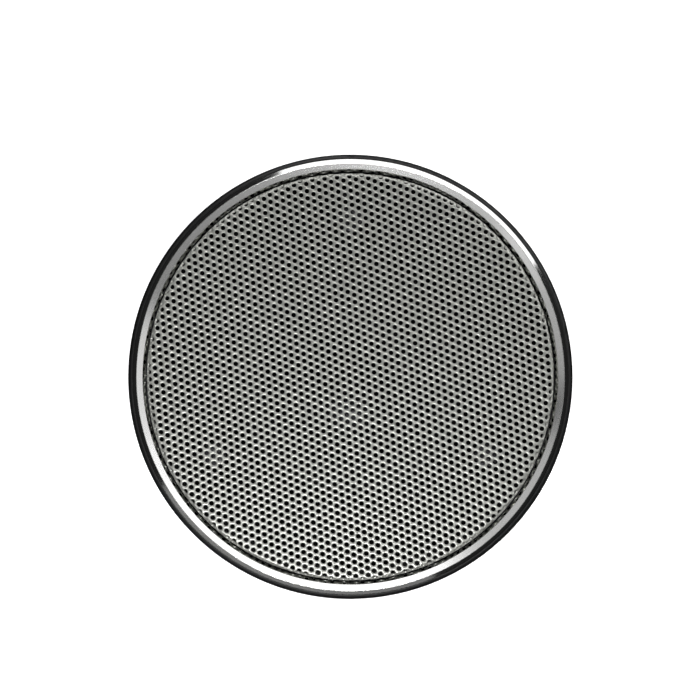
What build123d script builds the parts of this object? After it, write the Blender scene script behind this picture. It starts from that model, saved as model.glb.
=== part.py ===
from build123d import *
import os
from math import sqrt

# Flush-mount car tweeter, millimetres.
# Frame: +Z leaves the front (the way the sound goes), +Y is up on the installed
# tweeter, and the origin is the centre of the panel face that the flange seats on.

# ---------------------------------------------------------------- driving sizes
# Radii build outwards from the dome, so a wider dome widens everything around it.

# Dome, suspension and voice coil
dome_radius = 12.4
dome_height = 3.8
dome_thickness = 0.15
dome_rim_width = 0.9
dome_rim_lift = 0.2
surround_roll_width = 2.0
surround_lip_width = 2.1
surround_thickness = 0.25
surround_roll_rise = 0.95
surround_ring_height = 1.0
former_step = 0.25
former_thickness = 0.1
former_tail = 0.4
coil_thickness = 0.3
coil_length = 2.6
cone_travel = 0.4

# Motor
pole_plate_drop = 1.75
pole_plate_thickness = 2.0
gap_inside = 0.25
gap_outside = 0.3
magnet_inset = 0.8
magnet_length = 4.0
yoke_wall = 2.35
yoke_floor = 2.2
damping_pad_inset = 2.8
damping_pad_thickness = 1.5

# Faceplate and driver frame
faceplate_top = 0.4
faceplate_thickness = 2.8
faceplate_land = 6.9
waveguide_throat_gap = 1.0
waveguide_slope_width = 2.0
waveguide_throat_edge = 0.2
driver_frame_thickness = 2.0
driver_gasket_thickness = 0.6
frame_land_margin = 0.35
frame_collar_wall = 1.5
frame_collar_length = 4.0

# Cup behind the panel
driver_ledge_width = 1.3
spigot_wall = 1.7
spigot_plain_length = 2.0
thread_undercut = 0.1
thread_depth = 0.8
thread_pitch = 2.5
thread_end_margin = 3.0
ridge_base = 1.3
ridge_crest = 0.7
keyway_width = 4.0
keyway_web = 0.3
boss_inset = 2.0
boss_radius = 2.4
boss_count = 3
boss_first_angle = 90.0

# Front flange, trim ring and pressed steel grille
flange_drop = 0.4
flange_web = 1.0
flange_rim_width = 0.6
flange_edge_round = 0.8
trim_ring_face_width = 0.86
trim_ring_bevel_width = 0.58
trim_ring_crest_rise = 0.25
trim_ring_inner_drop = 0.15
trim_ring_bevel_drop = 0.3
trim_ring_lip_round = 0.18
groove_width = 0.56
grille_overhang = 1.36
grille_thickness = 0.5
grille_bend_radius = 0.46
carrier_inset = 0.4
carrier_land = 1.2
carrier_chamfer = 0.9

# Panel gasket, slip washer and ring nut
panel_gasket_inset = 1.0
panel_gasket_width = 2.2
panel_gasket_depth = 0.4
panel_thickness = 3.0
washer_width = 3.2
washer_thickness = 1.2
nut_wall = 2.15
nut_height = 5.0
nut_rib_radius = 0.9
nut_rib_count = 24

# Rear cover, terminals and high-pass filter
rear_room = 2.0
cover_thickness = 1.6
socket_length = 12.6
socket_width = 7.6
socket_depth = 6.2
socket_wall = 1.2
blade_thickness = 0.8
blade_spacing = 6.0
blade_positive_width = 4.8
blade_negative_width = 2.8
blade_tip_share = 0.16
blade_recess = 0.6
blade_tail = 1.2
board_inset = 0.6
board_thickness = 1.0
capacitor_radius = 3.15
capacitor_length = 9.5
capacitor_angle = 30.0
capacitor_lead_radius = 0.3
capacitor_lead_spacing = 2.5
capacitor_lead_length = 2.2
wire_radius = 0.5
wire_bow = 0.8
wire_bend_radius = 2.5
tinsel_radius = 0.13
tab_width = 1.6
tab_thickness = 0.3
tab_reach = 3.6

# Screws, one size front and rear
screw_shank_radius = 1.0
screw_length = 6.5
screw_head_radius = 1.9
screw_head_height = 1.2
screw_head_sink = 0.2
screw_recess_width = 0.5
screw_recess_depth = 0.6

# Clearances
press_clearance = 0.04
slip_clearance = 0.1
washer_clearance = 0.15
keyway_clearance = 0.2
thread_clearance = 0.25
screw_hole_clearance = 0.2
screw_thread_clearance = 0.02
column_clearance = 0.4
capacitor_clearance = 0.2
grille_clearance = 0.4

# ---------------------------------------------------------------- derived places

# Radii, from the dome outwards
dome_rim_radius = dome_radius + dome_rim_width
former_radius = dome_radius + former_step
coil_outer_radius = former_radius + coil_thickness
pole_plate_radius = former_radius - former_thickness - gap_inside
magnet_radius = pole_plate_radius - magnet_inset
damping_pad_radius = pole_plate_radius - damping_pad_inset
yoke_inner_radius = coil_outer_radius + gap_outside
yoke_outer_radius = yoke_inner_radius + yoke_wall
frame_collar_inner_radius = yoke_outer_radius + press_clearance
frame_collar_outer_radius = frame_collar_inner_radius + frame_collar_wall
surround_roll_outer_radius = dome_rim_radius + surround_roll_width
surround_ring_inner_radius = surround_roll_outer_radius - slip_clearance
surround_ring_outer_radius = surround_roll_outer_radius + surround_lip_width
waveguide_throat_radius = surround_roll_outer_radius + waveguide_throat_gap
waveguide_mouth_radius = waveguide_throat_radius + waveguide_slope_width
# The cup is as wide as the faceplate needs, or as the capacitor beside the motor needs.
capacitor_bore_radius = frame_collar_outer_radius + 2 * (capacitor_radius + capacitor_clearance)
cup_bore_radius = max(
    waveguide_mouth_radius + faceplate_land + slip_clearance - driver_ledge_width,
    capacitor_bore_radius,
)
driver_bore_radius = cup_bore_radius + driver_ledge_width
driver_radius = driver_bore_radius - slip_clearance
boss_circle_radius = cup_bore_radius - boss_inset
board_radius = cup_bore_radius - board_inset
spigot_radius = driver_bore_radius + spigot_wall
thread_crest_radius = spigot_radius - thread_undercut
thread_root_radius = thread_crest_radius - thread_depth
keyway_floor_radius = driver_bore_radius + keyway_web
carrier_inner_radius = driver_bore_radius + carrier_inset
grille_radius = spigot_radius + grille_overhang
grille_skirt_inner_radius = grille_radius - grille_thickness
trim_ring_inner_radius = grille_radius + groove_width
trim_ring_crest_radius = trim_ring_inner_radius + trim_ring_face_width
trim_ring_outer_radius = trim_ring_crest_radius + trim_ring_bevel_width
flange_bore_radius = trim_ring_outer_radius + press_clearance
flange_radius = flange_bore_radius + flange_rim_width
panel_gasket_inner_radius = spigot_radius + panel_gasket_inset
panel_gasket_outer_radius = panel_gasket_inner_radius + panel_gasket_width
washer_outer_radius = spigot_radius + washer_width
nut_bore_radius = thread_crest_radius + thread_clearance
nut_body_radius = nut_bore_radius + nut_wall

# Heights, from the front backwards
faceplate_underside = faceplate_top - faceplate_thickness
waveguide_throat_height = faceplate_underside + waveguide_throat_edge
front_screw_seat = faceplate_top - screw_head_height - screw_head_sink
driver_frame_underside = faceplate_underside - driver_frame_thickness
cup_ledge = driver_frame_underside - driver_gasket_thickness
dome_rim_top = faceplate_underside + dome_rim_lift
dome_rim_underside = dome_rim_top - dome_thickness
dome_top = dome_rim_top + dome_height
grille_underside = dome_top + cone_travel + grille_clearance
grille_top = grille_underside + grille_thickness
flange_height = grille_top - flange_drop
trim_ring_crest_height = grille_top + trim_ring_crest_rise
trim_ring_inner_height = grille_top - trim_ring_inner_drop
trim_ring_bevel_foot = grille_top - trim_ring_bevel_drop
surround_lip_underside = faceplate_underside - surround_thickness
surround_ring_underside = surround_lip_underside - surround_ring_height
pole_plate_top = surround_ring_underside - pole_plate_drop
pole_plate_underside = pole_plate_top - pole_plate_thickness
coil_middle = pole_plate_top - pole_plate_thickness / 2
coil_underside = coil_middle - coil_length / 2
former_underside = coil_underside - former_tail
magnet_underside = pole_plate_underside - magnet_length
yoke_underside = magnet_underside - yoke_floor
board_top = min(yoke_underside - rear_room, driver_frame_underside - capacitor_clearance - capacitor_length)
board_underside = board_top - board_thickness
socket_floor = board_underside - socket_wall
cup_end = socket_floor - socket_depth
cover_inner_face = cup_end + cover_thickness
rear_screw_seat = cup_end + screw_head_height + screw_head_sink
cup_ridge_start = cup_end + thread_end_margin
washer_top = -panel_thickness
nut_top = washer_top - washer_thickness
nut_underside = nut_top - nut_height

# Places around the circle
lead_angles = (0.0, 180.0)
keyway_angles = (90.0, 270.0)
boss_angles = [boss_first_angle + index * 360.0 / boss_count for index in range(boss_count)]
tab_outer_radius = surround_ring_outer_radius + tab_reach / 2
wire_circle_radius = tab_outer_radius - wire_radius
capacitor_circle_radius = (frame_collar_outer_radius + cup_bore_radius) / 2


# ---------------------------------------------------------------- helpers

def turned(*outline):
    """A solid turned about Z from one closed outline of (radius, height) points."""
    return revolve(Plane.XZ * make_face(Polyline(*outline, close=True)), Axis.Z)


def turned_curve(*edges):
    """A solid turned about Z from a closed outline of lines and arcs."""
    return revolve(Plane.XZ * make_face(edges), Axis.Z)


def ring(outer_radius, inner_radius, bottom, top):
    return turned((inner_radius, bottom), (outer_radius, bottom), (outer_radius, top), (inner_radius, top))


def disc(radius, bottom, top):
    return Pos(0, 0, (bottom + top) / 2) * Cylinder(radius, top - bottom)


def block(x_size, y_size, bottom, top, x=0.0, y=0.0):
    return Pos(x, y, (bottom + top) / 2) * Box(x_size, y_size, top - bottom)


def at_angle(shape, radius, angle):
    """Move a shape made at the origin out to a place on a circle, turned to face it."""
    return Rot(0, 0, angle) * Pos(radius, 0, 0) * shape


def on_bosses(shape):
    return [at_angle(shape, boss_circle_radius, angle) for angle in boss_angles]


def thread_ridge(root, crest, base_width, crest_width, bottom, top):
    """A right-hand helical ridge from radius root to radius crest, between two heights.

    Its middle line crosses the +X side at height bottom.
    """
    path = Pos(0, 0, bottom) * Helix(thread_pitch, top - bottom, root)
    outline = Polyline(
        (root, bottom - base_width / 2),
        (crest, bottom - crest_width / 2),
        (crest, bottom + crest_width / 2),
        (root, bottom + base_width / 2),
        close=True,
    )
    return sweep(Plane.XZ * make_face(outline), path=path, is_frenet=True)


def screw(direction, seat):
    """A pan-head screw: direction +1 leaves its head above the seat, -1 below it."""
    head = Cylinder(screw_head_radius, screw_head_height)
    head = fillet(head.edges().group_by(Axis.Z)[-1], screw_head_height * 0.45)
    head = Pos(0, 0, screw_head_height / 2) * head
    shank = Pos(0, 0, -screw_length / 2) * Cylinder(screw_shank_radius, screw_length)
    recess_arm = Box(screw_head_radius * 1.1, screw_recess_width, 2 * screw_recess_depth)
    recess = Pos(0, 0, screw_head_height) * (recess_arm + Rot(0, 0, 90) * recess_arm)
    whole = head + shank - recess
    if direction < 0:
        whole = Rot(180, 0, 0) * whole
    return Pos(0, 0, seat) * whole


def wire(points, corner_radius, radius):
    """A round wire along straight runs joined by arcs."""
    path = FilletPolyline(*points, radius=corner_radius)
    section = Plane(origin=path @ 0, z_dir=path % 0) * Circle(radius)
    return sweep(section, path=path)


# ---------------------------------------------------------------- mounting cup

def make_mounting_cup():
    """Moulded flange, threaded spigot and driver seat in one piece."""
    rim_land = flange_rim_width * 0.2
    rim_foot = flange_height - flange_edge_round
    end_chamfer = 0.5
    cup = turned_curve(
        Polyline(
            (flange_bore_radius + rim_land, flange_height),
            (flange_bore_radius, flange_height),
            (flange_bore_radius, flange_web),
            (driver_bore_radius, flange_web),
            (driver_bore_radius, cup_ledge),
            (cup_bore_radius, cup_ledge),
            (cup_bore_radius, cup_end),
            (thread_root_radius - end_chamfer, cup_end),
            (thread_root_radius, cup_end + end_chamfer),
            (thread_root_radius, -spigot_plain_length - thread_depth - thread_undercut),
            (spigot_radius, -spigot_plain_length),
            (spigot_radius, 0),
            (flange_radius, 0),
            (flange_radius, rim_foot),
        ),
        ThreePointArc(
            (flange_radius, rim_foot),
            (flange_radius - flange_rim_width * 0.2, flange_height - flange_edge_round * 0.35),
            (flange_bore_radius + rim_land, flange_height),
        ),
    )
    cup -= ring(panel_gasket_outer_radius, panel_gasket_inner_radius, -1.0, panel_gasket_depth)
    cup += thread_ridge(
        thread_root_radius - screw_hole_clearance,
        thread_crest_radius,
        ridge_base,
        ridge_crest,
        cup_ridge_start,
        -spigot_plain_length - thread_depth - ridge_base,
    )
    slot_reach = 2 * spigot_wall
    slot = block(slot_reach, keyway_width, cup_end - 1.0, 0.0)
    for angle in keyway_angles:
        cup -= at_angle(slot, keyway_floor_radius + slot_reach / 2, angle)
    column = Pos(boss_circle_radius, 0, 0) * disc(boss_radius, cover_inner_face, driver_frame_underside)
    column = column & disc(keyway_floor_radius, cup_end, 0)
    for angle in boss_angles:
        cup += Rot(0, 0, angle) * column
    pilot_radius = screw_shank_radius + screw_thread_clearance
    for pilot in on_bosses(disc(pilot_radius, front_screw_seat - screw_length - 1.0, 0)):
        cup -= pilot
    for pilot in on_bosses(disc(pilot_radius, cup_end, rear_screw_seat + screw_length + 1.0)):
        cup -= pilot
    return cup


def make_panel_gasket():
    """Foam ring in the flange's back, flush with the panel face when clamped."""
    return ring(
        panel_gasket_outer_radius - slip_clearance,
        panel_gasket_inner_radius + slip_clearance,
        0,
        panel_gasket_depth,
    )


def make_trim_ring():
    """Turned metal ring: a polished outer bevel and a satin face that falls inwards."""
    lip = trim_ring_lip_round
    return turned_curve(
        Polyline(
            (trim_ring_inner_radius, trim_ring_inner_height - lip),
            (trim_ring_inner_radius, flange_web),
            (trim_ring_outer_radius, flange_web),
            (trim_ring_outer_radius, trim_ring_bevel_foot),
            (trim_ring_crest_radius, trim_ring_crest_height),
            (trim_ring_inner_radius + lip, trim_ring_inner_height),
        ),
        ThreePointArc(
            (trim_ring_inner_radius + lip, trim_ring_inner_height),
            (trim_ring_inner_radius + lip * 0.29, trim_ring_inner_height - lip * 0.29),
            (trim_ring_inner_radius, trim_ring_inner_height - lip),
        ),
    )


# ---------------------------------------------------------------- grille

def make_grille_mesh():
    """Sheet pressed into a shallow cap with a short skirt, as it is before it is punched."""
    bend_start = grille_radius - grille_bend_radius
    bend_middle = grille_bend_radius * (1 - sqrt(0.5))
    return turned_curve(
        Polyline(
            (bend_start, grille_top),
            (0, grille_top),
            (0, grille_underside),
            (grille_skirt_inner_radius, grille_underside),
            (grille_skirt_inner_radius, flange_web),
            (grille_radius, flange_web),
            (grille_radius, grille_top - grille_bend_radius),
        ),
        ThreePointArc(
            (grille_radius, grille_top - grille_bend_radius),
            (grille_radius - bend_middle, grille_top - bend_middle),
            (bend_start, grille_top),
        ),
    )


def make_grille_carrier():
    """Ring inside the grille's skirt, chamfered on its inner edge."""
    outer = grille_skirt_inner_radius - press_clearance
    land_inner = outer - carrier_land
    return turned(
        (carrier_inner_radius, flange_web),
        (outer, flange_web),
        (outer, grille_underside),
        (land_inner, grille_underside),
        (carrier_inner_radius, grille_underside - carrier_chamfer),
    )


# ---------------------------------------------------------------- driver

def make_faceplate():
    """Glossy front plate with a short conical waveguide and three sunk screws."""
    plate = turned(
        (waveguide_throat_radius, faceplate_underside),
        (driver_radius, faceplate_underside),
        (driver_radius, faceplate_top - slip_clearance),
        (driver_radius - slip_clearance, faceplate_top),
        (waveguide_mouth_radius, faceplate_top),
        (waveguide_throat_radius, waveguide_throat_height),
    )
    shank_hole = disc(screw_shank_radius + screw_hole_clearance, faceplate_underside - 1.0, faceplate_top + 1.0)
    head_hole = disc(screw_head_radius + screw_hole_clearance, front_screw_seat, faceplate_top + 1.0)
    for hole in on_bosses(shank_hole + head_hole):
        plate -= hole
    return plate


def make_faceplate_screws():
    return Compound(children=on_bosses(screw(1, front_screw_seat)))


def make_driver_frame():
    """Moulded ring that centres the motor and seats the faceplate."""
    frame = turned(
        (yoke_inner_radius + frame_land_margin, surround_ring_underside),
        (surround_ring_outer_radius + slip_clearance, surround_ring_underside),
        (surround_ring_outer_radius + slip_clearance, faceplate_underside),
        (driver_radius, faceplate_underside),
        (driver_radius, driver_frame_underside),
        (frame_collar_outer_radius, driver_frame_underside),
        (frame_collar_outer_radius, pole_plate_top - frame_collar_length),
        (frame_collar_inner_radius, pole_plate_top - frame_collar_length),
        (frame_collar_inner_radius, pole_plate_top),
        (yoke_inner_radius + frame_land_margin, pole_plate_top),
    )
    slot_length = tab_reach
    wire_slot = block(
        slot_length,
        tab_width + 2 * slip_clearance,
        driver_frame_underside - 1.0,
        faceplate_underside + 1.0,
    )
    slot_middle = frame_collar_outer_radius + slip_clearance + slot_length / 2
    channel = block(
        slot_length,
        tab_width + 2 * slip_clearance,
        surround_ring_underside,
        faceplate_underside + 1.0,
    )
    for angle in lead_angles:
        frame -= at_angle(wire_slot, slot_middle, angle)
        frame -= at_angle(channel, surround_ring_outer_radius, angle)
    for hole in on_bosses(disc(screw_shank_radius + screw_hole_clearance, cup_end, faceplate_top)):
        frame -= hole
    return frame


def make_driver_gasket():
    """Foam ring between the driver frame and the ledge in the cup, notched at the columns."""
    gasket = ring(
        driver_bore_radius - slip_clearance,
        cup_bore_radius + slip_clearance,
        cup_ledge,
        driver_frame_underside,
    )
    for notch in on_bosses(disc(boss_radius + slip_clearance, cup_end, 0)):
        gasket -= notch
    return gasket


def make_surround_ring():
    """Ring glued under the surround's lip, notched underneath for the solder tabs."""
    body = ring(
        surround_ring_outer_radius,
        surround_ring_inner_radius,
        surround_ring_underside,
        surround_lip_underside,
    )
    notch = block(
        3 * tab_reach,
        tab_width + 2 * press_clearance,
        surround_ring_underside - 1.0,
        surround_ring_underside + tab_thickness,
    )
    for angle in lead_angles:
        body -= at_angle(notch, surround_ring_outer_radius, angle)
    return body


def make_surround():
    """Half-roll suspension between the surround ring and the dome's rim."""
    lip_top = faceplate_underside
    lip_bottom = surround_lip_underside
    land_bottom = dome_rim_top
    land_top = dome_rim_top + surround_thickness
    middle = (dome_rim_radius + surround_roll_outer_radius) / 2
    crest = max(lip_top, land_top) + surround_roll_rise
    return turned_curve(
        Polyline(
            (surround_roll_outer_radius, lip_top),
            (surround_ring_outer_radius, lip_top),
            (surround_ring_outer_radius, lip_bottom),
            (surround_ring_inner_radius, lip_bottom),
        ),
        ThreePointArc(
            (surround_ring_inner_radius, lip_bottom),
            (middle, crest - surround_thickness),
            (dome_rim_radius, land_bottom),
        ),
        Polyline(
            (dome_rim_radius, land_bottom),
            (dome_rim_radius - dome_rim_width / 2, land_bottom),
            (dome_rim_radius - dome_rim_width / 2, land_top),
            (dome_rim_radius - press_clearance, land_top),
        ),
        ThreePointArc(
            (dome_rim_radius - press_clearance, land_top),
            (middle, crest),
            (surround_roll_outer_radius, lip_top),
        ),
    )


def make_dome():
    """Drawn metal cap with a flat rim."""
    sphere_radius = (dome_radius ** 2 + dome_height ** 2) / (2 * dome_height)
    sphere_centre = dome_top - sphere_radius
    shell = Sphere(sphere_radius) - Sphere(sphere_radius - dome_thickness)
    cap = (Pos(0, 0, sphere_centre) * shell) & disc(dome_rim_radius, dome_rim_underside, dome_rim_top + 2 * dome_height)
    rim = ring(dome_rim_radius, dome_radius - dome_thickness, dome_rim_underside, dome_rim_top)
    return cap + rim


def make_voice_coil_former():
    return ring(former_radius, former_radius - former_thickness, former_underside, dome_rim_underside)


def make_voice_coil():
    """Two-layer winding on the outside of the former, centred on the pole plate."""
    return ring(coil_outer_radius, former_radius, coil_underside, coil_underside + coil_length)


def make_flexible_leads():
    """Tinsel leads that carry the signal from the former to the solder tabs."""
    start = former_radius + press_clearance
    end = surround_ring_outer_radius - tab_reach / 2 - press_clearance
    height = surround_ring_underside + tab_thickness / 2
    lead = Rot(0, 90, 0) * Cylinder(tinsel_radius, end - start)
    return Compound(children=[
        at_angle(Pos(0, 0, height) * lead, (start + end) / 2, angle) for angle in lead_angles
    ])


def make_solder_tabs():
    tab = block(tab_reach, tab_width, surround_ring_underside, surround_ring_underside + tab_thickness)
    return Compound(children=[
        at_angle(tab, surround_ring_outer_radius, angle) for angle in lead_angles
    ])


def make_pole_plate():
    return disc(pole_plate_radius, pole_plate_underside, pole_plate_top)


def make_magnet():
    slug = disc(magnet_radius, magnet_underside, pole_plate_underside)
    return chamfer(slug.edges().filter_by(GeomType.CIRCLE), 0.2)


def make_yoke_cup():
    """Steel pot that carries the flux around the magnet to the gap."""
    return turned(
        (0, yoke_underside),
        (yoke_outer_radius - 0.8, yoke_underside),
        (yoke_outer_radius, yoke_underside + 0.8),
        (yoke_outer_radius, pole_plate_top),
        (yoke_inner_radius, pole_plate_top),
        (yoke_inner_radius, magnet_underside),
        (0, magnet_underside),
    )


def make_damping_pad():
    return disc(damping_pad_radius, pole_plate_top, pole_plate_top + damping_pad_thickness)


# ---------------------------------------------------------------- rear

def blade_holes(bottom, top, clearance):
    """Slots for the two blade terminals."""
    return (
        block(blade_thickness + 2 * clearance, blade_positive_width + 2 * clearance, bottom, top, -blade_spacing / 2)
        + block(blade_thickness + 2 * clearance, blade_negative_width + 2 * clearance, bottom, top, blade_spacing / 2)
    )


def make_rear_cover():
    """Cap that closes the cup, with the terminal socket sunk into it."""
    cover = disc(cup_bore_radius - slip_clearance, cup_end, cover_inner_face)
    cover = chamfer(cover.edges().group_by(Axis.Z)[0], 0.3)
    cover += block(
        socket_length + 2 * socket_wall,
        socket_width + 2 * socket_wall,
        cup_end + cover_thickness / 2,
        board_underside,
    )
    cover -= block(socket_length, socket_width, cup_end - 1.0, socket_floor)
    cover -= blade_holes(cup_end, board_underside + 1.0, press_clearance)
    shank_hole = disc(screw_shank_radius + screw_hole_clearance, cup_end - 1.0, 0)
    head_hole = disc(screw_head_radius + screw_hole_clearance, cup_end - 1.0, rear_screw_seat)
    for hole in on_bosses(shank_hole + head_hole):
        cover -= hole
    return cover


def make_rear_cover_screws():
    return Compound(children=on_bosses(screw(-1, rear_screw_seat)))


def make_blade(width, x):
    bottom = cup_end + blade_recess
    top = board_top + blade_tail
    blade = block(blade_thickness, width, bottom, top, x)
    tip = blade.edges().filter_by(Axis.X).group_by(Axis.Z)[0]
    return chamfer(tip, width * blade_tip_share)


def make_crossover_board():
    """Round board soldered to the terminals, notched around the screw columns."""
    board = disc(board_radius, board_underside, board_top)
    for notch in on_bosses(disc(boss_radius + column_clearance, board_underside - 1.0, board_top + 1.0)):
        board -= notch
    board -= blade_holes(board_underside - 1.0, board_top + 1.0, press_clearance)
    return board - capacitor_lead_pins(board_underside - 1.0, board_top + 1.0, press_clearance)


def capacitor_lead_pins(bottom, top, clearance):
    radius = capacitor_lead_radius + clearance
    pair = (
        Pos(0, capacitor_lead_spacing / 2, 0) * disc(radius, bottom, top)
        + Pos(0, -capacitor_lead_spacing / 2, 0) * disc(radius, bottom, top)
    )
    return at_angle(pair, capacitor_circle_radius, capacitor_angle)


def make_crossover_capacitor():
    """Bipolar capacitor that keeps low notes out of the voice coil."""
    can = disc(capacitor_radius, board_top, board_top + capacitor_length)
    can = fillet(can.edges().filter_by(GeomType.CIRCLE), 0.4)
    groove = Pos(0, 0, board_top + 1.6) * Torus(capacitor_radius + 0.35, 0.55)
    return at_angle(can - groove, capacitor_circle_radius, capacitor_angle)


def make_capacitor_leads():
    return capacitor_lead_pins(board_top - capacitor_lead_length, board_top, 0)


def make_hookup_wire(angle):
    """Insulated wire from a solder tab down to the board, with a little slack."""
    top = surround_ring_underside
    drop = top - board_top
    points = [
        (wire_circle_radius, 0, top),
        (wire_circle_radius, 0, top - drop * 0.25),
        (wire_circle_radius + wire_bow, wire_bow, top - drop * 0.5),
        (wire_circle_radius, 0, top - drop * 0.75),
        (wire_circle_radius, 0, board_top),
    ]
    return Rot(0, 0, angle) * wire(points, wire_bend_radius, wire_radius)


# ---------------------------------------------------------------- panel fixing

def make_slip_washer():
    """Flat washer whose two tabs ride in the cup's keyways, so it can't turn."""
    washer = ring(washer_outer_radius, spigot_radius + washer_clearance, nut_top, washer_top)
    tab_inner = keyway_floor_radius + keyway_clearance
    tab_length = spigot_radius + washer_width / 2 - tab_inner
    tab = block(tab_length, keyway_width - 2 * keyway_clearance, nut_top, washer_top)
    for angle in keyway_angles:
        washer += at_angle(tab, tab_inner + tab_length / 2, angle)
    return washer


def make_ring_nut():
    """Ribbed nut on the cup's thread that pulls the washer against the panel."""
    body = ring(nut_body_radius, nut_bore_radius, nut_underside, nut_top)
    rib = disc(nut_rib_radius, nut_underside, nut_top)
    ribs = [
        at_angle(rib, nut_body_radius, index * 360.0 / nut_rib_count) for index in range(nut_rib_count)
    ]
    body = body.fuse(*ribs)
    ridge_bottom = nut_underside + ridge_base
    ridge_top = nut_top - ridge_base
    ridge = thread_ridge(
        nut_bore_radius + screw_hole_clearance,
        thread_root_radius + thread_clearance,
        ridge_base - keyway_clearance,
        ridge_crest - keyway_clearance,
        ridge_bottom,
        ridge_top,
    )
    # Half a pitch away from the cup's ridge all the way round.
    turns_from_cup_ridge = (ridge_bottom - cup_ridge_start) / thread_pitch - 0.5
    return body + Rot(0, 0, 360.0 * turns_from_cup_ridge) * ridge


# ---------------------------------------------------------------- write the parts

nodes = {
    "mounting_cup": make_mounting_cup,
    "panel_gasket": make_panel_gasket,
    "trim_ring": make_trim_ring,
    "grille_mesh": make_grille_mesh,
    "grille_carrier": make_grille_carrier,
    "faceplate": make_faceplate,
    "faceplate_screws": make_faceplate_screws,
    "driver_frame": make_driver_frame,
    "driver_gasket": make_driver_gasket,
    "surround_ring": make_surround_ring,
    "surround": make_surround,
    "dome": make_dome,
    "voice_coil_former": make_voice_coil_former,
    "voice_coil": make_voice_coil,
    "flexible_leads": make_flexible_leads,
    "solder_tabs": make_solder_tabs,
    "pole_plate": make_pole_plate,
    "magnet": make_magnet,
    "yoke_cup": make_yoke_cup,
    "damping_pad": make_damping_pad,
    "rear_cover": make_rear_cover,
    "rear_cover_screws": make_rear_cover_screws,
    "terminal_positive": lambda: make_blade(blade_positive_width, -blade_spacing / 2),
    "terminal_negative": lambda: make_blade(blade_negative_width, blade_spacing / 2),
    "crossover_board": make_crossover_board,
    "crossover_capacitor": make_crossover_capacitor,
    "capacitor_leads": make_capacitor_leads,
    "hookup_wire_positive": lambda: make_hookup_wire(lead_angles[0]),
    "hookup_wire_negative": lambda: make_hookup_wire(lead_angles[1]),
    "slip_washer": make_slip_washer,
    "ring_nut": make_ring_nut,
}

os.makedirs("parts", exist_ok=True)
for node, make in nodes.items():
    export_step(make(), f"parts/{node}.step")
    print(node)
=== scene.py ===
from math import cos, hypot, pi, radians, sin, sqrt

import bmesh
import bpy
from mathutils import Matrix, Vector


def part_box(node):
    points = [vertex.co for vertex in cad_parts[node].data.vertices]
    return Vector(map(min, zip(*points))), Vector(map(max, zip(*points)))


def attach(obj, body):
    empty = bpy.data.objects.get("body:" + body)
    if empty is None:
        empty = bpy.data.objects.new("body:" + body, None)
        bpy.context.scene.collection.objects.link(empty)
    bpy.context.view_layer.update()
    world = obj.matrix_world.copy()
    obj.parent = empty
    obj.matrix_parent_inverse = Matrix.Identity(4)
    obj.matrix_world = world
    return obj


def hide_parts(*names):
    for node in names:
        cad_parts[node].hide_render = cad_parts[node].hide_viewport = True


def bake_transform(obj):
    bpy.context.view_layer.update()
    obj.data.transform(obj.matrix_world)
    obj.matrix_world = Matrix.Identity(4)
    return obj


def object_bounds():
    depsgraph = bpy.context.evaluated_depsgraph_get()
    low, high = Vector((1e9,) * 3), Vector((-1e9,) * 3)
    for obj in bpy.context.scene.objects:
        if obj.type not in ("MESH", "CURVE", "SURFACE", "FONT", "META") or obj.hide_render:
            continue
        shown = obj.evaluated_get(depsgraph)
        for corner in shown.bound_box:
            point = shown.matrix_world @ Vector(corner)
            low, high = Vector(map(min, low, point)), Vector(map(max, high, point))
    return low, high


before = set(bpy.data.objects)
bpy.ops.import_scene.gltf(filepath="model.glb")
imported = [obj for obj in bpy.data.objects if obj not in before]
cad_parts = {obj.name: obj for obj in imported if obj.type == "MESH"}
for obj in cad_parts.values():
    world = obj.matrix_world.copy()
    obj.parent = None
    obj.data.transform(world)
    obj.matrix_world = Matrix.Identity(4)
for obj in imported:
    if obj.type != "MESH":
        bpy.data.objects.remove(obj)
cad_low, cad_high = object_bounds()


# ---- Bench -----------------------------------------------------------------------------
# The tweeter lies on its back on a plain pale bench, seen square on from the front.
# A big soft box stands beyond its top edge, and weaker ones stand all round it.

flange_low, flange_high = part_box("mounting_cup")
flange_width = flange_high.x - flange_low.x
camera_distance = 0.5
frame_width = flange_width * 1.5722
frame_rise = flange_width * 0.0604
frame_shift = flange_width * -0.0008
sensor_width = 36.0

lens = bpy.data.cameras.new("camera")
lens.sensor_width = sensor_width
lens.lens = sensor_width * camera_distance / frame_width
lens.clip_start = 0.01
camera = bpy.data.objects.new("camera", lens)
camera.location = (frame_shift, frame_rise, flange_high.z + camera_distance)
bpy.context.scene.collection.objects.link(camera)
bpy.context.scene.camera = camera


def soft_box(name, place, width, height, watts):
    """A rectangular soft box aimed at the middle of the tweeter's face."""
    lamp = bpy.data.lights.new(name, "AREA")
    lamp.shape = "RECTANGLE"
    lamp.size = width
    lamp.size_y = height
    lamp.energy = watts
    stand = bpy.data.objects.new(name, lamp)
    stand.location = place
    stand.rotation_euler = (-Vector(place)).to_track_quat("-Z", "Y").to_euler()
    stand.visible_camera = False
    bpy.context.scene.collection.objects.link(stand)


soft_box("box_beyond_top", (0.12, 0.33, 0.17), 0.70, 0.46, 1.70)
soft_box("box_upper_left", (-0.215, 0.222, 0.29), 0.34, 0.26, 0.145)
soft_box("box_right", (0.34, 0.015, 0.30), 0.24, 0.32, 0.20)
soft_box("box_left", (-0.30, -0.12, 0.30), 0.26, 0.26, 0.09)
soft_box("box_low", (-0.014, -0.097, 0.235), 0.07, 0.07, 0.28)
soft_box("box_below_left", (-0.16, -0.257, 0.25), 0.30, 0.22, 0.075)
soft_box("box_below_right", (0.15, -0.26, 0.25), 0.36, 0.24, 0.068)
soft_box("card_below", (-0.09, -0.27, 0.03), 0.50, 0.06, 0.045)

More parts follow.
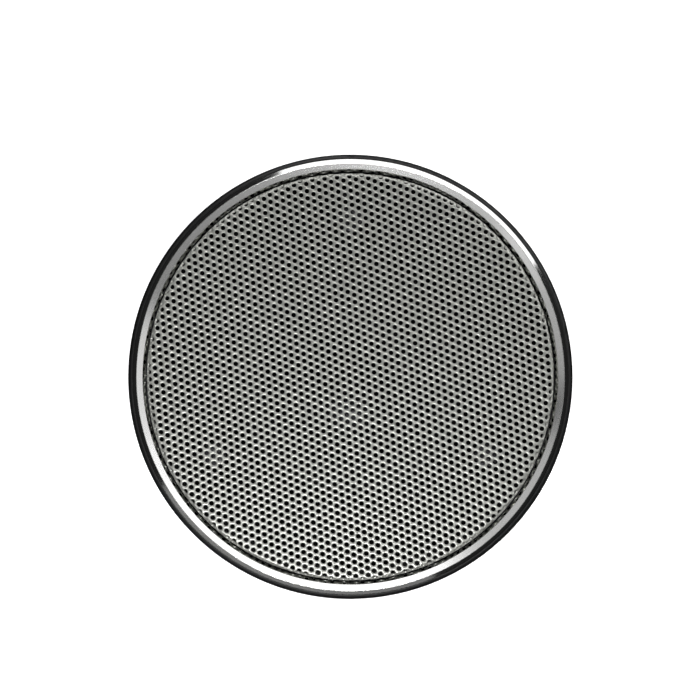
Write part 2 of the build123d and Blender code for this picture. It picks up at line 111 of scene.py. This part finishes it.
surroundings = bpy.data.worlds.new("surroundings")
surroundings.use_nodes = True
air = surroundings.node_tree.nodes["Background"]
air.inputs["Color"].default_value = (1, 1, 1, 1)
air.inputs["Strength"].default_value = 0.015
bpy.context.scene.world = surroundings
bpy.context.scene.view_settings.view_transform = "Standard"


class Value:
    """One output of a finish's nodes, so that shader maths reads as arithmetic."""

    def __init__(self, finish, socket):
        self.finish = finish
        self.socket = socket

    def maths(self, operation, *operands):
        return self.finish.node("ShaderNodeMath", {"operation": operation}, dict(enumerate(operands)))

    def __add__(self, other):
        return self.maths("ADD", self, other)

    def __radd__(self, other):
        return self.maths("ADD", other, self)

    def __rsub__(self, other):
        return self.maths("SUBTRACT", other, self)

    def __mul__(self, other):
        return self.maths("MULTIPLY", self, other)

    def __rmul__(self, other):
        return self.maths("MULTIPLY", other, self)

    def __truediv__(self, other):
        return self.maths("DIVIDE", self, other)

    def between(self, low, high):
        """0 at low and 1 at high, with a smooth turn between."""
        settings = {"interpolation_type": "SMOOTHSTEP"}
        return self.finish.node(
            "ShaderNodeMapRange", settings, {"Value": self, "From Min": low, "From Max": high}
        )


class Finish:
    """A surface finish: uniform values go on the shader, and node() adds what varies."""

    def __init__(self, name, uniform):
        self.material = bpy.data.materials.new(name)
        self.material.use_nodes = True
        self.tree = self.material.node_tree
        self.shader = self.tree.nodes["Principled BSDF"]
        self.paint(uniform)
        self.place = self.node("ShaderNodeTexCoord", {}, {}, "Object")

    def feed(self, socket, value):
        if isinstance(value, Value):
            self.tree.links.new(value.socket, socket)
        else:
            socket.default_value = value

    def node(self, kind, settings, inputs, output=0):
        """Any node: its settings first, then the values or links of its sockets."""
        made = self.tree.nodes.new(kind)
        for setting, value in settings.items():
            setattr(made, setting, value)
        for socket, value in inputs.items():
            self.feed(made.inputs[socket], value)
        return Value(self, made.outputs[output])

    def paint(self, inputs):
        for socket, value in inputs.items():
            self.feed(self.shader.inputs[socket], value)

    def noise(self, size, detail=2.0, roughness=0.5):
        """Cloudy noise whose blotches are about size metres across."""
        inputs = {"Vector": self.place, "Scale": 1 / size, "Detail": detail, "Roughness": roughness}
        return self.node("ShaderNodeTexNoise", {}, inputs)

    def lines(self, pitch):
        """Uneven rings round the axis, as a turning tool leaves, about pitch metres apart."""
        inputs = {"W": self.radius() / pitch, "Scale": 1.0, "Detail": 3.0}
        return self.node("ShaderNodeTexNoise", {"noise_dimensions": "1D"}, inputs)

    def tint(self, mask, low, high):
        """One colour turning to another where the mask rises."""
        inputs = {0: mask, 6: (*low, 1), 7: (*high, 1)}
        return self.node("ShaderNodeMix", {"data_type": "RGBA"}, inputs, 2)

    def along(self, axis):
        """The place along one of the tweeter's axes, in metres."""
        return self.node("ShaderNodeSeparateXYZ", {}, {0: self.place}, axis)

    def radius(self):
        """Distance from the tweeter's axis, in metres."""
        squared = self.along("X") * self.along("X") + self.along("Y") * self.along("Y")
        return squared.maths("SQRT", squared)

    def bump(self, height, depth):
        """Relief of the given height map, depth metres deep."""
        self.paint({"Normal": self.node("ShaderNodeBump", {}, {"Height": height, "Distance": depth})})

    def cover(self, *shapes):
        for shape in shapes:
            shape.data.materials.clear()
            shape.data.materials.append(self.material)


bench_reach = 1.5
bench_gap = 0.0002
bench_finish = Finish("bench_white", {
    "Roughness": 0.7,
    "Emission Color": (1, 1, 1, 1),
    "Emission Strength": 1.0,
})
bench_cloud = bench_finish.noise(0.05)
bench_finish.paint({
    "Base Color": bench_finish.tint(bench_cloud, (0.93, 0.93, 0.93), (0.96, 0.96, 0.96)),
})
bench_mesh = bmesh.new()
bmesh.ops.create_grid(bench_mesh, x_segments=1, y_segments=1, size=bench_reach)
bmesh.ops.translate(bench_mesh, verts=bench_mesh.verts, vec=(0, 0, cad_low.z - bench_gap))
bench_data = bpy.data.meshes.new("bench")
bench_mesh.to_mesh(bench_data)
bench = bpy.data.objects.new("bench", bench_data)
bpy.context.scene.collection.objects.link(bench)
bench.visible_diffuse = False
bench.visible_glossy = False
bench_finish.cover(bench)


# ---- Perforated grille -----------------------------------------------------------------
# Steel sheet punched with staggered 0.64 mm holes at 1 mm spacing, then pressed into a cap
# with a short skirt and coated in satin warm grey. Its holes run on round the bend.

grille_low, grille_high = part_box("grille_mesh")
grille_outer = grille_high.x
sheet_thickness = 0.00035
bend_radius = 0.00046
bend_start = grille_outer - bend_radius
foot_gap = 0.00003
skirt_foot = grille_low.z + foot_gap
hole_pitch = 0.001
hole_radius = 0.00032
hole_sides = 10
dish_radius = 0.00047
dish_shoulder = 0.00041
dish_shoulder_drop = 0.000019
dish_drop = 0.00008
row_angle = radians(35.4)
row_offset = Vector((-0.00015, 0.000285))
middle_limit = 0.0190
face_limit = 0.0270
skirt_length = grille_high.z - bend_radius - skirt_foot
edge_limit = bend_start + bend_radius * pi / 2 + skirt_length + hole_pitch


def loop(mesh, sides, radius, height, turn=0.0):
    """The edges of a new ring."""
    place = Matrix.Translation((0, 0, height)) @ Matrix.Rotation(turn, 4, "Z")
    made = bmesh.ops.create_circle(mesh, segments=sides, radius=radius, matrix=place)
    return list(dict.fromkeys(edge for vertex in made["verts"] for edge in vertex.link_edges))


def stepped(mesh, edges, scale, drop):
    """Carries a ring on to a new one, scaled about the axis and dropped."""
    made = bmesh.ops.extrude_edge_only(mesh, edges=edges)["geom"]
    fresh = [part for part in made if isinstance(part, bmesh.types.BMVert)]
    bmesh.ops.scale(mesh, verts=fresh, vec=(scale, scale, 1))
    bmesh.ops.translate(mesh, verts=fresh, vec=(0, 0, -drop))
    carried = [part for part in made if isinstance(part, bmesh.types.BMEdge)]
    return [edge for edge in carried if set(edge.verts) <= set(fresh)]


def punched_cell():
    """One six-sided cell of the sheet with its hole, open where it meets its neighbours."""
    cell = bmesh.new()
    corner_radius = hole_pitch / sqrt(3)
    corners_top = loop(cell, 6, corner_radius, 0, row_angle)
    dish = loop(cell, hole_sides, dish_radius, 0, row_angle)
    bmesh.ops.bridge_loops(cell, edges=corners_top + dish)
    shoulder = stepped(cell, dish, dish_shoulder / dish_radius, dish_shoulder_drop)
    wall_top = stepped(cell, shoulder, hole_radius / dish_shoulder, dish_drop - dish_shoulder_drop)
    wall_foot = stepped(cell, wall_top, 1, sheet_thickness - dish_drop)
    corners_foot = loop(cell, 6, corner_radius, -sheet_thickness, row_angle)
    bmesh.ops.bridge_loops(cell, edges=corners_foot + wall_foot)
    return cell


def pressed(point):
    """Where pressing the cap takes a point of the flat sheet, whose top face is at height 0."""
    reach = hypot(point.x, point.y)
    past = reach - bend_start
    if past <= 0:
        return Vector((point.x, point.y, grille_high.z + point.z))
    angle = min(past / bend_radius, pi / 2)
    drop = max(past - bend_radius * pi / 2, 0)
    radius = bend_start + (bend_radius + point.z) * sin(angle)
    height = grille_high.z - bend_radius + (bend_radius + point.z) * cos(angle) - drop
    return Vector((point.x / reach * radius, point.y / reach * radius, height))


def shaped(name, mesh):
    """A finished mesh as an object in the scene."""
    data = bpy.data.meshes.new(name)
    mesh.to_mesh(data)
    mesh.free()
    made = bpy.data.objects.new(name, data)
    bpy.context.scene.collection.objects.link(made)
    return made


def piece(name, mesh, body, *nodes):
    """A finished mesh that rides on a body and stands for CAD nodes."""
    made = shaped(name, mesh)
    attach(made, body)
    if nodes:
        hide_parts(*nodes)
    return made


def punched_sheet(inner_limit, outer_limit):
    """The cells whose centres lie between two radii, welded together and pressed."""
    cell = punched_cell()
    cell_data = bpy.data.meshes.new("cell")
    sheet = bmesh.new()
    along = Vector((cos(row_angle), sin(row_angle))) * hole_pitch
    across = Vector((cos(row_angle + pi / 3), sin(row_angle + pi / 3))) * hole_pitch
    reach = int(outer_limit / hole_pitch * 2 / sqrt(3)) + 2
    stands_at = Vector((0, 0))
    for i in range(-reach, reach + 1):
        for j in range(-reach, reach + 1):
            centre = row_offset + along * i + across * j
            if inner_limit <= centre.length < outer_limit:
                bmesh.ops.translate(cell, verts=cell.verts, vec=(centre - stands_at).to_3d())
                stands_at = centre
                cell.to_mesh(cell_data)
                sheet.from_mesh(cell_data)
    cell.free()
    bpy.data.meshes.remove(cell_data)
    bmesh.ops.remove_doubles(sheet, verts=sheet.verts, dist=hole_pitch * 0.02)
    middle = (inner_limit + outer_limit) / 2
    cut = [edge for edge in sheet.edges if edge.is_boundary]
    inside = [edge for edge in cut if edge.verts[0].co.xy.length < middle]
    outside = [edge for edge in cut if edge.verts[0].co.xy.length >= middle]
    for rim in (inside, outside):
        if rim:
            bmesh.ops.bridge_loops(sheet, edges=rim)
    for vertex in sheet.verts:
        vertex.co = pressed(vertex.co)
    return sheet


def trimmed(sheet):
    """Cuts the skirt off level at its foot and closes the cut."""
    everything = sheet.verts[:] + sheet.edges[:] + sheet.faces[:]
    foot = (0, 0, skirt_foot)
    bmesh.ops.bisect_plane(sheet, geom=everything, plane_co=foot, plane_no=(0, 0, -1), clear_outer=True)
    bmesh.ops.holes_fill(sheet, edges=[edge for edge in sheet.edges if edge.is_boundary])


def smooth(mesh, sharp_angle=pi):
    """Faces point outwards and shade smoothly, except over edges sharper than the angle."""
    bmesh.ops.recalc_face_normals(mesh, faces=mesh.faces)
    for face in mesh.faces:
        face.smooth = True
    for edge in mesh.edges:
        edge.smooth = not edge.is_manifold or edge.calc_face_angle() < sharp_angle


coat = Finish("grille_coat", {})
coat_speck = coat.noise(0.00012, 3)
coat_cloud = coat.noise(0.006)
# Painted shade: inside the bend, the sheet's underside and the lower part of each hole wall are painted
# near-black, matt and not metallic, so that the holes and their reflections in the gloss parts behind
# read dark.
underside_painted_shade = coat.along("Z").between(grille_high.z - dish_drop, grille_high.z - 2 * dish_drop)
underside_painted_shade = underside_painted_shade * coat.radius().between(bend_start + bend_radius * 0.6, bend_start)
coat_colour = coat.tint(coat_speck * 0.6 + coat_cloud * 0.4, (0.42, 0.425, 0.396), (0.53, 0.535, 0.50))
coat_and_painted_shade = {0: underside_painted_shade, 6: coat_colour, 7: (0.004, 0.004, 0.004, 1)}
coat.paint({
    "Base Color": coat.node("ShaderNodeMix", {"data_type": "RGBA"}, coat_and_painted_shade, 2),
    "Metallic": 0.85 * (1 - underside_painted_shade),
    "Roughness": (0.28 + coat_speck * 0.10) * (1 - underside_painted_shade) + 0.9 * underside_painted_shade,
})
coat.bump(coat_speck, 0.0000015)

sheet_names = ("grille_middle", "grille_face", "grille_edge")
sheet_limits = (0, middle_limit, face_limit, edge_limit)
for name, inner_limit, outer_limit in zip(sheet_names, sheet_limits, sheet_limits[1:]):
    sheet = punched_sheet(inner_limit, outer_limit)
    if outer_limit == edge_limit:
        trimmed(sheet)
    smooth(sheet, radians(70))
    part = piece(name, sheet, "tweeter", "grille_mesh")
    coat.cover(part)


# ---- Trim ring -------------------------------------------------------------------------
# Turned aluminium ring pressed into the flange. Its face falls inwards and is bead
# blasted; the outer bevel and the inner wall are left bright from a diamond tool.

ring_low, ring_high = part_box("trim_ring")
ring_outer = ring_high.x
bevel_width = 0.00058
bevel_height = 0.00055
face_width = 0.00086
face_fall = 0.0004
ring_inner = ring_outer - bevel_width - face_width
wall_slope_width = 0.00036
wall_slope_height = 0.00075
corner_hold = 0.00007
edge_ease = 0.00003
polish_fade = 0.00005
polish_overrun = 0.00001
groove_fade = 0.00003
ring_steps = 288


def held(outline, hold):
    """The outline with a point beside each corner, so that shading stays crisp there."""
    points = []
    for here, there in zip(outline, outline[1:] + outline[:1]):
        run = Vector(there) - Vector(here)
        points.append(here)
        if run.length > 3 * hold:
            step = run.normalized() * hold
            points.append(tuple(Vector(here) + step))
            points.append(tuple(Vector(there) - step))
    return points


def turned(outline, steps):
    """A closed outline of (radius, height) points spun once round the axis."""
    mesh = bmesh.new()
    points = [mesh.verts.new((radius, 0, height)) for radius, height in outline]
    edges = [mesh.edges.new(pair) for pair in zip(points, points[1:] + points[:1])]
    bmesh.ops.spin(
        mesh, geom=points + edges, cent=(0, 0, 0), axis=(0, 0, 1),
        angle=2 * pi, steps=steps, use_merge=True,
    )
    bmesh.ops.remove_doubles(mesh, verts=mesh.verts, dist=0.0000005)
    bmesh.ops.recalc_face_normals(mesh, faces=mesh.faces)
    return mesh


def eased(mesh, width):
    """Rounds every edge sharper than 20 degrees, then shades smoothly."""
    crisp = [edge for edge in mesh.edges if edge.is_manifold and edge.calc_face_angle() > radians(20)]
    bmesh.ops.bevel(
        mesh, geom=crisp, offset=width, offset_type="OFFSET", segments=2, profile=0.5,
        affect="EDGES", clamp_overlap=True, material=-1,
    )
    smooth(mesh, radians(60))


ring_outline = held([
    (ring_inner, ring_high.z - face_fall),
    (ring_outer - bevel_width, ring_high.z),
    (ring_outer, ring_high.z - bevel_height),
    (ring_outer, ring_low.z),
    (ring_inner - wall_slope_width, ring_low.z),
    (ring_inner - wall_slope_width, ring_high.z - face_fall - wall_slope_height),
], corner_hold)
ring_mesh = turned(ring_outline, ring_steps)
eased(ring_mesh, edge_ease)
trim_ring = piece("trim_ring_turned", ring_mesh, "tweeter", "trim_ring")

bright = Finish("ring_aluminium", {"Metallic": 1.0})
bright_reach = bright.radius()
polish_edge = ring_outer - bevel_width + polish_overrun
on_bevel = bright_reach.between(polish_edge - polish_fade, polish_edge)
in_groove = bright_reach.between(ring_inner + groove_fade, ring_inner)
polished = on_bevel.maths("MAXIMUM", on_bevel, in_groove)
turning = bright.lines(0.00014)
blasted = (0.18 + turning * 0.08) * (1 - polished)
bright.paint({
    "Base Color": bright.tint(bright.noise(0.003), (0.75, 0.75, 0.74), (0.81, 0.81, 0.80)),
    "Roughness": blasted + 0.07 * polished + 0.05 * on_bevel,
})
bright.bump(turning * (1 - polished * 0.8), 0.000002)
bright.cover(trim_ring)


# ---- Mounting cup ----------------------------------------------------------------------
# Flange, threaded spigot and driver seat moulded in one piece in black nylon, with a
# fine spark-eroded grain. The screw columns inside are part of it.


def shown(names, finish):
    """Puts a finish on CAD nodes that are shown as they are."""
    finish.cover(*(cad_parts[name] for name in names))


cup = Finish("cup_nylon", {"IOR": 1.42})
cup_grain = cup.noise(0.00018, 3)
cup_bloom = cup.noise(0.008)
cup.paint({
    "Base Color": cup.tint(cup_bloom, (0.004, 0.004, 0.0042), (0.008, 0.008, 0.0085)),
    "Roughness": 0.30 + cup_grain * 0.12 + cup_bloom * 0.06,
})
cup.bump(cup_grain, 0.000012)
shown(["mounting_cup", "rear_cover"], cup)


def soft_edges(width, *names):
    """Moulded parts have no knife edges: a narrow bevel on each CAD node's sharp edges."""
    for name in names:
        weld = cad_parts[name].modifiers.new("weld", "WELD")
        weld.merge_threshold = 0.000001
        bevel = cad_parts[name].modifiers.new("soft_edges", "BEVEL")
        bevel.width = width
        bevel.segments = 2
        bevel.limit_method = "ANGLE"
        bevel.angle_limit = radians(38)
        bevel.harden_normals = True


soft_edges(0.00012, "mounting_cup", "rear_cover")

# Raised polarity marks beside the terminal socket, moulded with the rear cover.
cover_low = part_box("rear_cover")[0]
mark_length = 0.0026
mark_width = 0.0006
mark_rise = 0.00015
mark_offset = 0.0095
mark_ease = 0.00006
mark_shape = Matrix.Diagonal((mark_length, mark_width, 2 * mark_rise, 1))
marks = bmesh.new()
for mark_x, turns in ((-mark_offset, (0, pi / 2)), (mark_offset, (0,))):
    for turn in turns:
        stands = Matrix.Translation((mark_x, 0, cover_low.z)) @ Matrix.Rotation(turn, 4, "Z")
        bar = bmesh.ops.create_cube(marks, size=1, matrix=stands @ mark_shape)
        edges = list(dict.fromkeys(edge for vertex in bar["verts"] for edge in vertex.link_edges))
        bmesh.ops.bevel(
            marks, geom=edges, offset=mark_ease, segments=2, profile=0.5, affect="EDGES", material=-1
        )
smooth(marks, radians(60))
polarity_marks = piece("polarity_marks", marks, "tweeter")
cup.cover(polarity_marks)


# ---- Panel fixing ----------------------------------------------------------------------
# Foam gasket in the flange's back, a zinc plated washer keyed to the cup, and a ribbed
# nylon ring nut that pulls the washer against the back of the panel.

foam = Finish("foam", {"IOR": 1.4})
foam_cells = foam.node("ShaderNodeTexVoronoi", {}, {"Vector": foam.place, "Scale": 3500}, "Distance")
foam.paint({
    "Base Color": foam.tint(foam_cells, (0.010, 0.010, 0.010), (0.035, 0.035, 0.035)),
    "Roughness": 0.85 + foam_cells * 0.1,
})
foam.bump(foam_cells, 0.00008)
shown(["panel_gasket", "driver_gasket"], foam)

zinc = Finish("zinc_plate", {"Metallic": 1.0})
zinc_cloud = zinc.noise(0.004, 4)
zinc_grain = zinc.noise(0.0002, 3)
zinc.paint({
    "Base Color": zinc.tint(zinc_cloud, (0.48, 0.49, 0.49), (0.62, 0.62, 0.60)),
    "Roughness": 0.28 + zinc_grain * 0.2,
})
zinc.bump(zinc_grain, 0.000006)
shown(["slip_washer", "yoke_cup", "pole_plate"], zinc)

nut = Finish("nut_nylon", {"IOR": 1.5})
nut_grain = nut.noise(0.00025, 3)
nut.paint({
    "Base Color": nut.tint(nut.noise(0.006), (0.012, 0.012, 0.0125), (0.022, 0.022, 0.023)),
    "Roughness": 0.42 + nut_grain * 0.15,
})
nut.bump(nut_grain, 0.00002)
shown(["ring_nut"], nut)
soft_edges(0.00015, "ring_nut")


# ---- Carrier, faceplate and frame ------------------------------------------------------
# Moulded black parts behind the grille. The carrier's inner chamfer and the faceplate's
# waveguide are tool-polished, so they glint through the holes.

gloss = Finish("gloss_black", {
    "IOR": 1.5,
    "Specular IOR Level": 0.3,
    "Coat Weight": 0.2,
    "Coat Roughness": 0.04,
})
gloss_haze = gloss.noise(0.002, 3)
gloss.paint({
    "Base Color": gloss.tint(gloss_haze, (0.003, 0.003, 0.003), (0.005, 0.005, 0.0055)),
    "Roughness": 0.08 + gloss_haze * 0.08,
})
gloss.bump(gloss_haze, 0.000004)
shown(["grille_carrier", "faceplate"], gloss)

matt = Finish("matt_black", {"IOR": 1.5})
matt_grain = matt.noise(0.0003, 3)
matt.paint({
    "Base Color": matt.tint(matt_grain, (0.012, 0.012, 0.012), (0.022, 0.022, 0.022)),
    "Roughness": 0.5 + matt_grain * 0.2,
})
matt.bump(matt_grain, 0.00001)
shown(["driver_frame", "surround_ring"], matt)


# ---- Screws ----------------------------------------------------------------------------
# Pan-head thread-forming screws in black zinc, three in front and three behind. They cut
# their own thread in the cup's nylon columns.

black_zinc = Finish("black_zinc", {"Metallic": 1.0})
zinc_wear = black_zinc.noise(0.0005, 4)
worn_spots = zinc_wear.between(0.45, 0.75)
black_zinc.paint({
    "Base Color": black_zinc.tint(worn_spots, (0.07, 0.07, 0.075), (0.22, 0.22, 0.22)),
    "Roughness": 0.25 + zinc_wear * 0.2,
})
black_zinc.bump(zinc_wear, 0.000008)
shown(["faceplate_screws", "rear_cover_screws"], black_zinc)


# ---- Dome and surround -----------------------------------------------------------------
# Black anodised aluminium dome on a half-roll surround of coated cloth. The surround's
# outer lip is clamped under the faceplate, and its inner land is glued to the dome.

anodised = Finish("anodised_dome", {"Metallic": 0.9})
dome_haze = anodised.noise(0.0004, 3)
anodised.paint({
    "Base Color": anodised.tint(dome_haze, (0.007, 0.007, 0.008), (0.013, 0.013, 0.014)),
    "Roughness": 0.24 + dome_haze * 0.08,
})
anodised.bump(dome_haze, 0.000002)
shown(["dome"], anodised)

cloth = Finish("coated_cloth", {"IOR": 1.45, "Specular IOR Level": 0.2})
threads = {"Vector": cloth.place, "Scale": 4000}
weave = cloth.node("ShaderNodeTexVoronoi", {"distance": "CHEBYCHEV"}, threads, "Distance")
cloth.paint({
    "Base Color": cloth.tint(weave, (0.004, 0.004, 0.004), (0.009, 0.009, 0.009)),
    "Roughness": 0.45 + weave * 0.2,
})
cloth.bump(weave, 0.00003)

surround_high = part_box("surround")[1]
plate_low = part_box("faceplate")[0]
former_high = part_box("voice_coil_former")[1]
rim_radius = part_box("dome")[1].x
cloth_thickness = 0.00025
lip_width = 0.0021
land_width = 0.00045
dome_foil = 0.00015
rim_top = former_high.z + dome_foil
roll_outer = surround_high.x - lip_width
roll_middle = (rim_radius + roll_outer) / 2
roll_half = (roll_outer - rim_radius) / 2
roll_steps = 8
surround_steps = 144


def quarter_roll(side, half, foot, crest):
    """Points down one side of the roll from its crest to its foot."""
    angles = [pi / 2 * step / roll_steps for step in range(roll_steps + 1)]
    return [(roll_middle + side * half * sin(a), foot + (crest - foot) * cos(a)) for a in angles]


def surround_part(name, side, lip_end, lip_top):
    """Half of the roll with its flat glued edge."""
    lip_foot = lip_top - cloth_thickness
    crest_foot = surround_high.z - cloth_thickness
    over = quarter_roll(side, roll_half, lip_top, surround_high.z)
    under = quarter_roll(side, roll_half - cloth_thickness, lip_foot, crest_foot)
    mesh = turned(over + [(lip_end, lip_top), (lip_end, lip_foot)] + under[::-1], surround_steps)
    smooth(mesh, radians(50))
    part = shaped(name, mesh)
    cloth.cover(part)
    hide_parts("surround")
    return part


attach(surround_part("surround_outer", 1, surround_high.x, plate_low.z), "tweeter")
inner_roll = surround_part("surround_inner", -1, rim_radius - land_width, rim_top + cloth_thickness)
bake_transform(inner_roll)


# ---- Voice coil and motor --------------------------------------------------------------
# Amber film former with an enamelled copper winding, in the gap of a neodymium motor. Two
# fine tinsel leads reach it from the solder tabs and flex as the dome moves.

film = Finish("amber_film", {"IOR": 1.6})
film_streak = film.noise(0.0006, 3)
film.paint({
    "Base Color": film.tint(film_streak, (0.36, 0.13, 0.03), (0.52, 0.22, 0.06)),
    "Roughness": 0.2 + film_streak * 0.15,
})
shown(["voice_coil_former"], film)

copper = Finish("enamelled_copper", {"Metallic": 1.0, "Coat Weight": 0.3})
winding = {"Vector": copper.place, "Scale": 2000}
turns = copper.node("ShaderNodeTexWave", {"bands_direction": "Z"}, winding, "Fac")
copper.paint({
    "Base Color": copper.tint(turns, (0.42, 0.14, 0.06), (0.80, 0.36, 0.18)),
    "Roughness": 0.22 + turns * 0.15,
})
copper.bump(turns, 0.00003)
shown(["voice_coil"], copper)

lead_low, lead_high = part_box("flexible_leads")
lead_radius = (lead_high.z - lead_low.z) / 2
lead_start = former_high.x + lead_radius
lead_sides = 10
lead_steps = 16
for name, side in (("flexible_lead_right", 1), ("flexible_lead_left", -1)):
    lead = bmesh.new()
    rings = []
    for step in range(lead_steps + 1):
        share = step / lead_steps
        reach = lead_start + (lead_high.x - lead_start) * share
        sag = 2 * lead_radius * sin(pi * share) ** 2
        centre = (side * reach, 0, (lead_low.z + lead_high.z) / 2 - sag)
        place = Matrix.Translation(centre) @ Matrix.Rotation(pi / 2, 4, "Y")
        made = bmesh.ops.create_circle(
            lead, segments=lead_sides, radius=lead_radius, matrix=place, cap_ends=step in (0, lead_steps)
        )
        verts = set(made["verts"])
        rings.append([edge for edge in lead.edges if set(edge.verts) <= verts])
    for ring, following in zip(rings, rings[1:]):
        bmesh.ops.bridge_loops(lead, edges=ring + following)
    smooth(lead, radians(60))
    strand = shaped(name, lead)
    copper.cover(strand)
    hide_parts("flexible_leads")
    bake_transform(strand)

nickel = Finish("nickel_plate", {"Metallic": 1.0})
nickel_cloud = nickel.noise(0.003, 3)
nickel.paint({
    "Base Color": nickel.tint(nickel_cloud, (0.60, 0.58, 0.54), (0.72, 0.70, 0.66)),
    "Roughness": 0.12 + nickel_cloud * 0.12,
})
shown(["magnet"], nickel)

felt = Finish("grey_felt", {"Sheen Weight": 0.4})
fibre = felt.noise(0.0002, 5, 0.7)
felt.paint({
    "Base Color": felt.tint(fibre, (0.06, 0.06, 0.065), (0.20, 0.20, 0.21)),
    "Roughness": 0.9 + fibre * 0.1,
})
felt.bump(fibre, 0.0001)
shown(["damping_pad"], felt)


# ---- Terminals and filter --------------------------------------------------------------
# Tinned brass blades soldered to a round board that carries the bass-blocking capacitor.
# A red and a black insulated wire run forward from the board to the driver's solder tabs.

tin = Finish("tinned_brass", {"Metallic": 1.0})
tin_cloud = tin.noise(0.001, 4)
tin.paint({
    "Base Color": tin.tint(tin_cloud, (0.62, 0.60, 0.54), (0.78, 0.77, 0.72)),
    "Roughness": 0.2 + tin_cloud * 0.2,
})
tin.bump(tin_cloud, 0.000008)
shown(["terminal_positive", "terminal_negative", "solder_tabs", "capacitor_leads"], tin)

mask = Finish("solder_mask", {"IOR": 1.5, "Coat Weight": 0.3})
glass_weave = mask.noise(0.0005, 2)
mask.paint({
    "Base Color": mask.tint(glass_weave, (0.010, 0.10, 0.035), (0.02, 0.15, 0.06)),
    "Roughness": 0.3 + glass_weave * 0.1,
})
mask.bump(glass_weave, 0.00001)
shown(["crossover_board"], mask)

sleeve = Finish("capacitor_sleeve", {"IOR": 1.5})
sleeve_haze = sleeve.noise(0.001, 2)
sleeve.paint({
    "Base Color": sleeve.tint(sleeve_haze, (0.008, 0.014, 0.06), (0.012, 0.022, 0.09)),
    "Roughness": 0.25 + sleeve_haze * 0.1,
})
shown(["crossover_capacitor"], sleeve)

for polarity, dark, light in (
    ("positive", (0.30, 0.01, 0.008), (0.42, 0.02, 0.015)),
    ("negative", (0.008, 0.008, 0.008), (0.016, 0.016, 0.016)),
):
    insulation = Finish(f"insulation_{polarity}", {"IOR": 1.5})
    haze = insulation.noise(0.0008, 2)
    insulation.paint({"Base Color": insulation.tint(haze, dark, light), "Roughness": 0.35 + haze * 0.15})
    shown([f"hookup_wire_{polarity}"], insulation)
